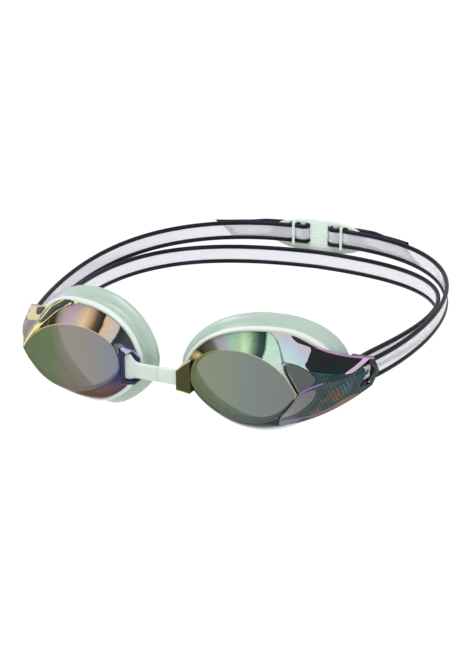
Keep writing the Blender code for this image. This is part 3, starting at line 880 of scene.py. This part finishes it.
def wall_point(depth, degrees):
    """A point on the wall, depth 0 at the face's edge to 1 at the rim."""
    angle = math.radians(degrees)
    away = np.array([math.cos(angle), math.sin(angle)])
    ends = []
    for points, plane, corner in ((FACE_OUTLINE, FACE_PLANE, CORNER), (WALL_OUTLINE, WALL_PLANE, None)):
        flat = OUTLINE_CENTRE + radius_at(points, corner, angle) * away
        ends.append(on_plane(flat[None], plane)[0])
    point = ends[0] + (ends[1] - ends[0]) * depth
    return point + np.array([away[0], 0, away[1]]) * float(bulge_at(depth, degrees))


ROOT_TABLE = np.array([(v, *wall_point(depth, degrees), degrees) for v, depth, degrees in WING_ROOT])


def across(lines, u, v):
    """A point on the ruled strips between three lines: v is 0, 1 and 2 on them."""
    top, crease, foot = (quadratic(line, u) for line in lines)
    return top + (crease - top) * v if v <= 1 else crease + (foot - crease) * (v - 1)


def wing_point(u, v):
    """A point on the wing's outer side, from the wall at u 0 to the anchor's end at u 1."""
    lines = (WING_TOP, WING_CREASE, WING_FOOT)
    if u >= WING_JOIN:
        return across(lines, u, v)
    t = u / WING_JOIN
    start = np.array([np.interp(v, ROOT_TABLE[:, 0], ROOT_TABLE[:, i]) for i in (1, 2, 3)])
    end = across(lines, WING_JOIN, v)
    ahead = across(lines, WING_JOIN + 0.01, v) - end
    chord = end - start
    ahead *= np.linalg.norm(chord) / np.linalg.norm(ahead)
    point = hermite(t, start, chord, end, ahead)
    swell = ROOT_LIFT * (1 - t) + RIDGE_SWELL * max(1 - v, 0) * 4 * t * (1 - t) * (1 - t / 2)
    return point + outward_at(v) * swell


def outward_at(v):
    """The direction out from the cup's centre where the wing starts."""
    angle = math.radians(float(np.interp(v, ROOT_TABLE[:, 0], ROOT_TABLE[:, 4])))
    return np.array([math.cos(angle), 0, math.sin(angle)])


def wing_back(u, v):
    """The matching point on the wing's side towards the head."""
    back = (WING_TOP_BACK, WING_CREASE_BACK, WING_FOOT_BACK)
    if u >= WING_JOIN:
        return across(back, u, v)
    t = u / WING_JOIN
    step = across(back, WING_JOIN, v) - wing_point(WING_JOIN, v)
    return wing_point(u, v) + step * t - outward_at(v) * ROOT_THICKNESS * (1 - t)


def wing_normal(u, v):
    """The wing's outward direction at (u, v), taken on one side of the crease at v 1."""
    du = wing_point(min(u + 0.01, 1.0), v) - wing_point(max(u - 0.01, 0.0), v)
    least, most = (0.0, 0.999) if v < 1 else (1.001, 2.0)
    dv = wing_point(u, min(v + 0.02, most)) - wing_point(u, max(v - 0.02, least))
    normal = np.cross(dv, du)
    normal /= np.linalg.norm(normal)
    return normal if normal[0] > 0 or normal[1] < -0.5 else -normal


def build_wing(side, sign, looks):
    shares = np.linspace(0, 2, 2 * WING_ACROSS + 1)
    sections = []
    for u in np.linspace(0, 1, WING_STEPS + 1):
        sections.append([wing_point(u, v) for v in shares] + [wing_back(u, v) for v in shares[::-1]])
    rows = [1 if GRIP_ROW <= i < 2 * WING_ACROSS else 0 for i in range(4 * WING_ACROSS + 2)]
    coats = [looks["wing"], looks["grip"], looks["anchor"]]
    wing = add_mesh(f"{side}_wing", *loft(sections), sign, coats, [2, 2] + rows * WING_STEPS)
    centre, half = np.array(WINDOW_CENTRE), np.array(WINDOW_SIZE) / 2
    inside = [looks["anchor"]]
    helpers = [
        add_mesh(f"{side}_pocket", *box_mesh(POCKET_LOW, POCKET_HIGH), sign, inside),
        add_box(f"{side}_window", centre - half, centre + half, sign, inside, 1.1, WINDOW_TILT_DEG),
    ]
    for helper in helpers:
        combine(wing, helper, "DIFFERENCE")
    settle(wing, helpers, 20.0)
    angles = np.linspace(0, 2 * math.pi, 24, endpoint=False)
    rings = [
        [(PIN[0] + PIN_RADIUS * math.cos(a), PIN[1] + PIN_RADIUS * math.sin(a), z) for a in angles]
        for z in (POCKET_LOW[2] - 0.3, POCKET_HIGH[2] + 0.3)
    ]
    pin = add_mesh(f"{side}_anchor_pin", *loft(rings), sign, inside)
    for piece in (wing, pin):
        place(piece, f"{side}_cup", "mirror_lens", f"{side}_lens")


def build_patch(name, corners, lift, sign, made_of, body):
    """A thin panel on the wing's outer side, bounded by a smooth line round (u, v) corners."""
    edge = smooth_closed(corners, per_span=8)
    middle = edge.mean(axis=0)
    rings = []
    for share, height in (
        (0.02, lift), (0.35, lift), (0.7, lift), (0.96, lift), (1.0, lift * 0.5),
        (1.0, -PATCH_DEPTH), (0.02, -PATCH_DEPTH),
    ):
        flat = np.clip(middle + (edge - middle) * share, (0.0, 0.0), (1.0, 2.0))
        rings.append([wing_point(u, v) + wing_normal(u, v) * height for u, v in flat])
    patch = add_mesh(name, *loft(rings), sign, [made_of], sharp_deg=50.0)
    place(patch, body, "mirror_lens")


def build_bead(name, points, width, sign, made_of, body, slot="mirror_lens"):
    """A fine round bead through (x, y, z) points."""
    curve = bpy.data.curves.new(name, "CURVE")
    curve.dimensions = "3D"
    curve.bevel_depth = width / 2 * MM
    curve.bevel_resolution = 3
    curve.use_fill_caps = True
    spline = curve.splines.new("POLY")
    spline.points.add(len(points) - 1)
    for target, point in zip(spline.points, points):
        target.co = (*((np.array(point) - ORIGIN) * (sign, 1, 1) * MM), 1.0)
    curve.materials.append(made_of)
    place(add_object(name, curve), body, slot)


def build_line(name, corners, width, sign, made_of, body):
    """A fine raised bead along (u, v) points of the wing."""
    path = []
    for (u0, v0), (u1, v1) in zip(corners, corners[1:]):
        for t in np.linspace(0, 1, 8, endpoint=False):
            path.append((u0 + (u1 - u0) * t, v0 + (v1 - v0) * t))
    path.append(corners[-1])
    points = [wing_point(u, v) + wing_normal(u, v) * LINE_LIFT for u, v in path]
    build_bead(name, points, width, sign, made_of, body)


# Panels of the wing's outer side, bounded by (u, v) points.
PANEL_SHAPES = {
    "window_1": [
        (0.004, 0.50), (0.05, 0.50), (0.10, 0.53), (0.17, 0.60), (0.21, 0.70), (0.24, 0.85),
        (0.17, 0.97), (0.04, 0.985), (0.008, 0.97), (0.004, 0.82), (0.004, 0.65),
    ],
    "window_2": [
        (0.004, 1.03), (0.11, 1.04), (0.25, 1.10), (0.25, 1.30), (0.20, 1.48), (0.12, 1.65),
        (0.06, 1.74), (0.004, 1.70), (0.004, 1.40),
    ],
    # The left wing's panel, painted black as a dark reflection.
    "black_panel": [
        (0.22, 0.03), (0.40, 0.07), (0.59, 0.105), (0.75, 0.14), (0.84, 0.20), (0.72, 0.53),
        (0.62, 0.77), (0.47, 0.755), (0.29, 0.67), (0.21, 0.63), (0.15, 0.50), (0.17, 0.38),
        (0.20, 0.18),
    ],
    "streak": [(0.105, 0.03), (0.19, 0.02), (0.26, 0.03), (0.25, 0.06), (0.18, 0.10), (0.12, 0.13)],
    "copper": [
        (0.23, 1.80), (0.33, 1.45), (0.49, 1.25), (0.60, 1.14), (0.68, 1.20), (0.70, 1.45),
        (0.66, 1.65), (0.51, 1.76), (0.34, 1.82),
    ],
    "cyan": [
        (0.57, 1.24), (0.61, 1.16), (0.68, 1.20), (0.705, 1.45), (0.68, 1.62), (0.62, 1.52),
        (0.58, 1.40),
    ],
    "foot": [
        (0.02, 1.86), (0.20, 1.84), (0.45, 1.85), (0.62, 1.78), (0.76, 1.80), (0.82, 1.90),
        (0.72, 1.985), (0.50, 1.985), (0.20, 1.985), (0.02, 1.985),
    ],
    # Along the ridge: a painted highlight.
    "ridge": [
        (0.22, 0.005), (0.60, 0.015), (0.98, 0.02), (0.98, 0.16), (0.80, 0.12), (0.62, 0.10),
        (0.40, 0.06), (0.24, 0.02),
    ],
    "bar": [
        (0.60, 0.80), (0.70, 0.57), (0.79, 0.30), (0.84, 0.12), (0.92, 0.12), (0.88, 0.30),
        (0.76, 0.66), (0.68, 0.82),
    ],
    "ellipse": [(0.41, 0.25), (0.51, 0.05), (0.38, 0.02), (0.25, 0.05), (0.25, 0.21), (0.33, 0.29)],
    "black_strip": [
        (0.012, 0.03), (0.14, 0.02), (0.17, 0.18), (0.15, 0.34), (0.09, 0.46), (0.02, 0.44),
        (0.008, 0.25),
    ],
    "grey_facet": [
        (0.14, 0.42), (0.38, 0.50), (0.60, 0.68), (0.60, 0.95), (0.30, 0.985), (0.12, 0.985),
        (0.08, 0.80), (0.09, 0.60),
    ],
}
# The two sides differ in what their coatings mirror, and their panels' colours hold these
# painted reflections. So each has its own panels, with how far they stand out, and its own
# fine lines, with their widths.
PANELS = {
    "left": {
        "window_1": 0.10, "window_2": 0.10, "black_panel": 0.06, "streak": 0.06, "copper": 0.06,
        "cyan": 0.10, "foot": 0.05, "ridge": 0.07, "bar": 0.14,
    },
    "right": {
        "window_1": 0.05, "window_2": 0.10, "ellipse": 0.12, "black_strip": 0.10,
        "grey_facet": 0.10, "copper": 0.06, "foot": 0.05,
    },
}
CREASE_LINE = ("crease", 0.5, [(0.02, 1.0), (0.34, 0.97)])
LINES = {
    "left": [
        ("edge_line", 0.3, [(0.004, 0.02), (0.004, 0.48)]),
        ("seam", 0.35, [(0.0, 0.46), (0.10, 0.52), (0.21, 0.64), (0.45, 0.76)]),
        ("root", 0.55, [(0.006, 0.52), (0.006, 0.98)]),
        CREASE_LINE,
    ],
    "right": [
        ("edge_line", 0.3, [(0.004, 0.02), (0.004, 0.98)]),
        ("seam", 0.35, [(0.085, 0.03), (0.10, 0.20), (0.07, 0.44)]),
        CREASE_LINE,
    ],
}


def build_wing_details(side, sign, looks):
    body = f"{side}_cup"
    for name, lift in PANELS[side].items():
        build_patch(f"{side}_wing_{name}", PANEL_SHAPES[name], lift, sign, looks[name], body)
    for name, width, corners in LINES[side]:
        build_line(f"{side}_wing_{name}", corners, width, sign, looks[name], body)


def build_socket(side, sign, looks):
    """The socket, with a bright line along the left one's front edges."""
    rings = []
    near, far = SOCKET_Y
    for x, low, front, back in SOCKET_SECTIONS[side]:
        rings.append([(x, near, low), (x, near, front), (x, far, back), (x, far, low)])
    # Its top faces take the painted highlight.
    zones = [0, 0] + [0, 1, 0, 0] * (len(rings) - 1)
    coats = [looks["socket"], looks["socket_top"]]
    socket = add_mesh(f"{side}_socket", *loft(rings), sign, coats, zones)
    bevel = socket.modifiers.new("round", "BEVEL")
    bevel.width = 0.35 * MM
    bevel.segments = 3
    mouth = add_box(f"{side}_mouth", *MOUTHS[side], sign, [looks["mouth"]], 0.4)
    combine(socket, mouth, "DIFFERENCE")
    settle(socket, [mouth], 30.0)
    place(socket, f"{side}_cup", "mirror_lens", f"{side}_lens")
    if side == "right":
        return
    for name, at in (("upper", 2), ("lower", 1)):
        line = [(section[0], near, section[at]) for section in SOCKET_SECTIONS[side]]
        build_bead(f"{side}_socket_{name}_line", line, 0.3, sign, looks["glint"], f"{side}_cup")


# ---------------------------------------------------------------- seals and bridge


def build_seal(side, sign, looks):
    rings = []
    for points, grow, plane, back in SEAL_RINGS:
        rings.append(on_plane(outline(points, SEAL_POINTS, grow), plane, back))
    for grow, plane, back in SEAL_INNER_RINGS:
        rings.append(on_plane(inner_outline(SEAL_POINTS, grow), plane, back))
    zones = [1 if strip < RIM_STRIPS else 0 for strip in range(len(rings)) for _ in range(SEAL_POINTS)]
    coats = [looks["seal"], looks["seal_rim"]]
    seal = add_mesh(f"{side}_face_seal", *loft(rings, hoop=True), sign, coats, zones, 60.0)
    smooth = seal.modifiers.new("smooth", "SUBSURF")
    smooth.levels = smooth.render_levels = 1
    settle(seal, sharp_deg=60.0)
    place(seal, f"{side}_cup", "seal_silicone", f"{side}_seal")


def bridge_at(side, x):
    """(middle z, height, middle y) of the bridge at this distance from its middle."""
    table = np.array(BRIDGE_SECTIONS + BRIDGE_ENDS[side])
    return [float(np.interp(abs(x), table[:, 0], table[:, i])) for i in (1, 2, 3)]


def build_bridge(side, sign, looks):
    """Half of the bridge."""
    rings = []
    for x in np.linspace(0, BRIDGE_ENDS[side][-1][0], 40):
        nearby = [bridge_at(side, max(x + d, 0)) for d in (-0.5, 0.0, 0.5)]
        z, height, y = np.mean(nearby, axis=0)
        section = squircle(BRIDGE_THICKNESS / 2, height / 2, 0.6, 0.35)
        rings.append([(x, y + wide, z + tall) for wide, tall in section])
    bridge = add_mesh(f"{side}_bridge", *loft(rings), sign, [looks["bridge"]], sharp_deg=60.0)
    bend(bridge, "nose_bridge")


# ---------------------------------------------------------------- the strap


def strap_section():
    """(thickness, height) points of the dumbbell section: its upper rail, then its lower."""
    middle = (STRAP_HEIGHT - RAIL_HEIGHT) / 2
    start = math.asin(WEB_HALF_THICKNESS / RAIL_HALF_THICKNESS)
    points = []
    for sign in (1, -1):
        for a in np.linspace(start, 2 * math.pi - start, 15):
            thick = math.sin(a) * RAIL_HALF_THICKNESS
            tall = -math.cos(a) * RAIL_HEIGHT / 2
            points.append((sign * thick, sign * (middle + tall)))
    return points


def sweep_strap(name, path, sign, looks, end_shear=0.0):
    """The strap's section carried upright along a path of (x, y, z).

    Its ends don't show, as another run carries on there, unless it ends in a slanted cut.
    """
    points = np.array(path, float)
    ahead = np.gradient(points[:, :2], axis=0)
    ahead /= np.hypot(ahead[:, 0], ahead[:, 1])[:, None]
    section = strap_section()
    rings = []
    for i, (point, (dx, dy)) in enumerate(zip(points, ahead)):
        shear = end_shear / (STRAP_HEIGHT / 2) if i == len(points) - 1 else 0.0
        rings.append([
            (point[0] + dy * t + dx * shear * z, point[1] - dx * t + dy * shear * z, point[2] + z)
            for t, z in section
        ])
    vertices, faces = loft(rings)
    rail = [0] * (len(section) // 2 - 1)
    zones = [2, 0 if end_shear else 2] + (rail + [1] + rail + [1]) * (len(rings) - 1)
    coats = [looks["rail"], looks["web"], looks["joint"]]
    return add_mesh(name, vertices, faces, sign, coats, zones, 50.0)


def strand_path(strand, steps, until_x):
    """Centre line of one strand's left half, from the anchor to until_x short of the middle."""
    heading = math.radians(strand["heading_deg"])
    near, far = strand["handles"]
    start = np.array([strand["start_x"], STRAND_START_Y])
    end = np.array([0.0, BACK_Y])
    knots = (start, start + near * np.array([math.sin(heading), math.cos(heading)]), end + [far, 0], end)
    t = np.linspace(0, 1, 1201)[:, None]
    weights = ((1 - t) ** 3, 3 * (1 - t) ** 2 * t, 3 * (1 - t) * t**2, t**3)
    fine = sum(weight * knot for weight, knot in zip(weights, knots))
    lengths = np.concatenate([[0], np.cumsum(np.hypot(*np.diff(fine, axis=0).T))])
    along = np.linspace(0, 1 - until_x / lengths[-1], steps + 1)
    x = np.interp(along * lengths[-1], lengths, fine[:, 0])
    y = np.interp(along * lengths[-1], lengths, fine[:, 1])
    rise = (strand["back_z"] - ANCHOR_Z) * along**2 * (3 - 2 * along)
    z = ANCHOR_Z + rise + strand["sag"] * 4 * along * (1 - along)
    return np.column_stack([x, y, z])


UPPER_PATH = strand_path(UPPER_STRAND, 400, 0.0)
BEHIND = UPPER_PATH[UPPER_PATH[:, 1] > BACK_Y * 0.6][::-1]


def upper_at(x):
    """(y, z) of the upper strand's centre line at this distance from the middle."""
    return tuple(float(np.interp(abs(x), BEHIND[:, 0], BEHIND[:, i])) for i in (1, 2))


def slot_turn(share_from, share_to):
    """Points on the half circle by which the strap passes out through the clip's slot."""
    y, z = upper_at(TURN_X)
    radius = OVER_CLIP / 2
    found = []
    for share in np.linspace(share_from, share_to, 12):
        angle = -math.pi / 2 - math.pi * share
        found.append((TURN_X + radius * math.cos(angle), y + radius + radius * math.sin(angle), z))
    return found


def build_loop(side, sign, looks):
    """The strap's bend round the anchor's pin."""
    path = [LOOP_LEGS["upper"]]
    for a in np.linspace(0, -math.pi, 25):
        path.append((PIN[0] + LOOP_RADIUS * math.cos(a), PIN[1] + LOOP_RADIUS * math.sin(a)))
    path.append(LOOP_LEGS["lower"])
    loop = sweep_strap(f"{side}_loop", [(x, y, ANCHOR_Z) for x, y in path], sign, looks)
    place(loop, f"{side}_loop", "strap_silicone", f"{side}_strap_loop")


def build_strands(side, sign, looks):
    """The lower run to the middle of the back, and the upper one to half way round the clip's slot."""
    lower = strand_path(LOWER_STRAND, 110, 0.0)
    upper = strand_path(UPPER_STRAND, 110, TURN_X)
    dip = STRAP_DIP * np.exp(-(((upper[:, 0] - KEEPER_X) / KEEPER_WIDTH) ** 2))
    upper[:, 1] += np.where(upper[:, 1] > BACK_Y * 0.6, dip, 0)
    upper = np.concatenate([upper, slot_turn(0.0, 0.5)[1:]])
    for level, path in (("lower", lower), ("upper", upper)):
        x, y = LOOP_LEGS[level]
        path = np.concatenate([[(x, y, ANCHOR_Z)], path])
        strand = sweep_strap(f"{side}_{level}_band", path, sign, looks)
        bend(strand, f"{side}_{level}_strand")


def build_tail(side, sign, looks):
    """The spare end, from the clip's slot to its slanted cut, with the cut's dark edge."""
    end_x, shear = TAIL_ENDS[side]
    tail = slot_turn(0.5, 1.0)
    for x in np.linspace(TURN_X + 0.6, end_x, 60):
        past_clip = min(max((x - CLIP_HALF_LENGTH - 1.0) / 8, 0), 1)
        past_clip = past_clip * past_clip * (3 - 2 * past_clip)
        offset = OVER_CLIP + (OVER_STRAND - OVER_CLIP) * past_clip
        y, z = upper_at(x)
        tilt = math.atan(upper_at(x - 0.5)[0] - upper_at(x + 0.5)[0])
        tail.append((x + offset * math.sin(tilt), y + offset * math.cos(tilt), z))
    spare = sweep_strap(f"{side}_tail_band", tail, sign, looks, shear)
    bend(spare, f"{side}_strap_tail")

    before, last = np.array(tail[-2:])
    ahead = (last - before)[:2] / np.hypot(*(last - before)[:2])
    cut = []
    for share in (-0.82, 0.82):
        x, y = last[:2] + ahead * (shear * share - 0.15)
        cut.append((x, y, last[2] + share * STRAP_HEIGHT / 2))
    build_bead(f"{side}_tail_cut", cut, 0.9, sign, looks["rail"], f"{side}_tail", "strap_silicone")


# ---------------------------------------------------------------- the rear clip


def build_clip(looks):
    """An oval plate with a slot, a window and a bar on each side, and dents in its middle."""
    inner = RAIL_HALF_THICKNESS + CLIP_GAP
    rings = []
    for a in np.linspace(0, math.pi, 97):
        x = -CLIP_HALF_LENGTH * math.cos(a) * 0.995
        half_tall = CLIP_HEIGHT / 2 * max(1 - abs(x / CLIP_HALF_LENGTH) ** 2.6, 0.02) ** 0.5
        middle = upper_at(x)[0] + inner + CLIP_THICKNESS / 2
        section = squircle(CLIP_THICKNESS / 2, half_tall, 0.45, 0.22)
        rings.append([(x, middle + wide, CLIP_Z + tall) for wide, tall in section])
    clip = add_mesh("rear_clip", *loft(rings), 1, [looks["clip"]])
    helpers = []
    for side, sign in SIDES:
        z = upper_at(SLOT_X)[1]
        for name, x, wide in (("slot", SLOT_X, SLOT_WIDTH), ("window", KEEPER_X, KEEPER_WINDOW)):
            low = (x - wide / 2, BACK_Y - 6, z - SLOT_HEIGHT / 2)
            high = (x + wide / 2, BACK_Y + 6, z + SLOT_HEIGHT / 2)
            helpers.append(add_box(f"{side}_{name}", low, high, sign, [looks["clip"]], 0.5))
            combine(clip, helpers[-1], "DIFFERENCE")
        helpers.append(keeper(side, sign, inner, looks))
        combine(clip, helpers[-1], "UNION")
    helpers.append(clip_dents(inner, looks))
    combine(clip, helpers[-1], "DIFFERENCE")
    settle(clip, helpers, 30.0)
    place(clip, "clip", "clip_plastic", "strap_clip")


def clip_dents(inner, looks):
    """The boxes that cut a grid of shallow dents into the plate's side towards the head."""
    half = DENT_SIZE / 2
    vertices, faces = [], []
    for column in range(DENT_COLUMNS):
        for row in range(DENT_ROWS):
            x = (column - (DENT_COLUMNS - 1) / 2) * DENT_PITCH
            z = CLIP_Z + (row - (DENT_ROWS - 1) / 2) * DENT_PITCH
            front = upper_at(x)[0] + inner
            box, quads = box_mesh((x - half, front - 1, z - half), (x + half, front + DENT_DEPTH, z + half))
            faces += [tuple(i + len(vertices) for i in quad) for quad in quads]
            vertices += box
    return add_mesh("clip_dents", vertices, faces, 1, [looks["dent"]])


def keeper(side, sign, inner, looks):
    """The bar over the strand: a C-shaped outline carried across the keeper's width."""
    strand_y, strand_z = upper_at(KEEPER_X)
    near = strand_y + STRAP_DIP - RAIL_HALF_THICKNESS - 0.3
    front = near - KEEPER_THICKNESS
    root = strand_y + inner + CLIP_THICKNESS / 2
    clear = STRAP_HEIGHT / 2 + 0.15
    edge = clear + KEEPER_LEG
    shape = [
        (root, edge), (front, edge), (front, -edge), (root, -edge),
        (root, -clear), (near, -clear), (near, clear), (root, clear),
    ]
    rings = [
        [(KEEPER_X + dx, y, strand_z + z) for y, z in shape]
        for dx in (-KEEPER_WIDTH / 2, KEEPER_WIDTH / 2)
    ]
    return add_mesh(f"{side}_keeper", *loft(rings), sign, [looks["clip"]])


# ---------------------------------------------------------------- assembly


def side_looks(side, sign, shared):
    """One side's materials by name, with those that both sides share."""
    looks = {
        **shared,
        "face": face_material(side),
        "wall": wall_material(f"{side}_mirror_wall", side, sign, WALL_COLOURS_AND_REFLECTIONS),
        "edge": wall_material(f"{side}_face_edge", side, sign, EDGE_HIGHLIGHT_AND_SHADE),
        "inside": inner_material(side),
        "wing": banded_material(f"{side}_mirror_wing", WING_BANDS[side]),
        "foot": banded_material(f"{side}_wing_foot", FOOT_BANDS[side], 0.4),
    }
    for name, cells in GRIP_CELLS[side].items():
        looks[name] = grip_material(f"{side}_{name}", GRIP_NETS[side], cells)
    for name, (colour, metallic) in COATS[side].items():
        looks[name] = gloss_material(f"{side}_{name}", colour, metallic)
    for name, colour in DARK_COATS[side].items():
        looks[name] = dark_gloss(f"{side}_{name}", colour)
    return looks


def build():
    build_camera()
    build_studio()
    shared = {
        "pane": pane_material(),
        "seal": silicone_material("seal_silicone", (186, 204, 193), 0.30, 0.22),
        # The rim is painted paler than the seal: painted light.
        "seal_rim": silicone_material("seal_rim_silicone", (212, 220, 215), 0.10, 0.25),
        "bridge": silicone_material("bridge_silicone", (216, 230, 222), 0.25),
        "clip": silicone_material("clip_plastic", (216, 228, 219), 0.1, 0.4),
        # The dents are painted paler than the plate: painted light against the shade inside them.
        "dent": silicone_material("clip_dent", (232, 242, 235), 0.0, 0.6),
        "rail": rail_material(),
        "web": web_material(),
        "joint": joint_material(),
    }
    for side, sign in SIDES:
        looks = side_looks(side, sign, shared)
        for build_part in (
            build_shell, build_wing, build_wing_details, build_socket, build_seal,
            build_bridge, build_loop, build_strands, build_tail,
        ):
            build_part(side, sign, looks)
    build_clip(shared)


build()
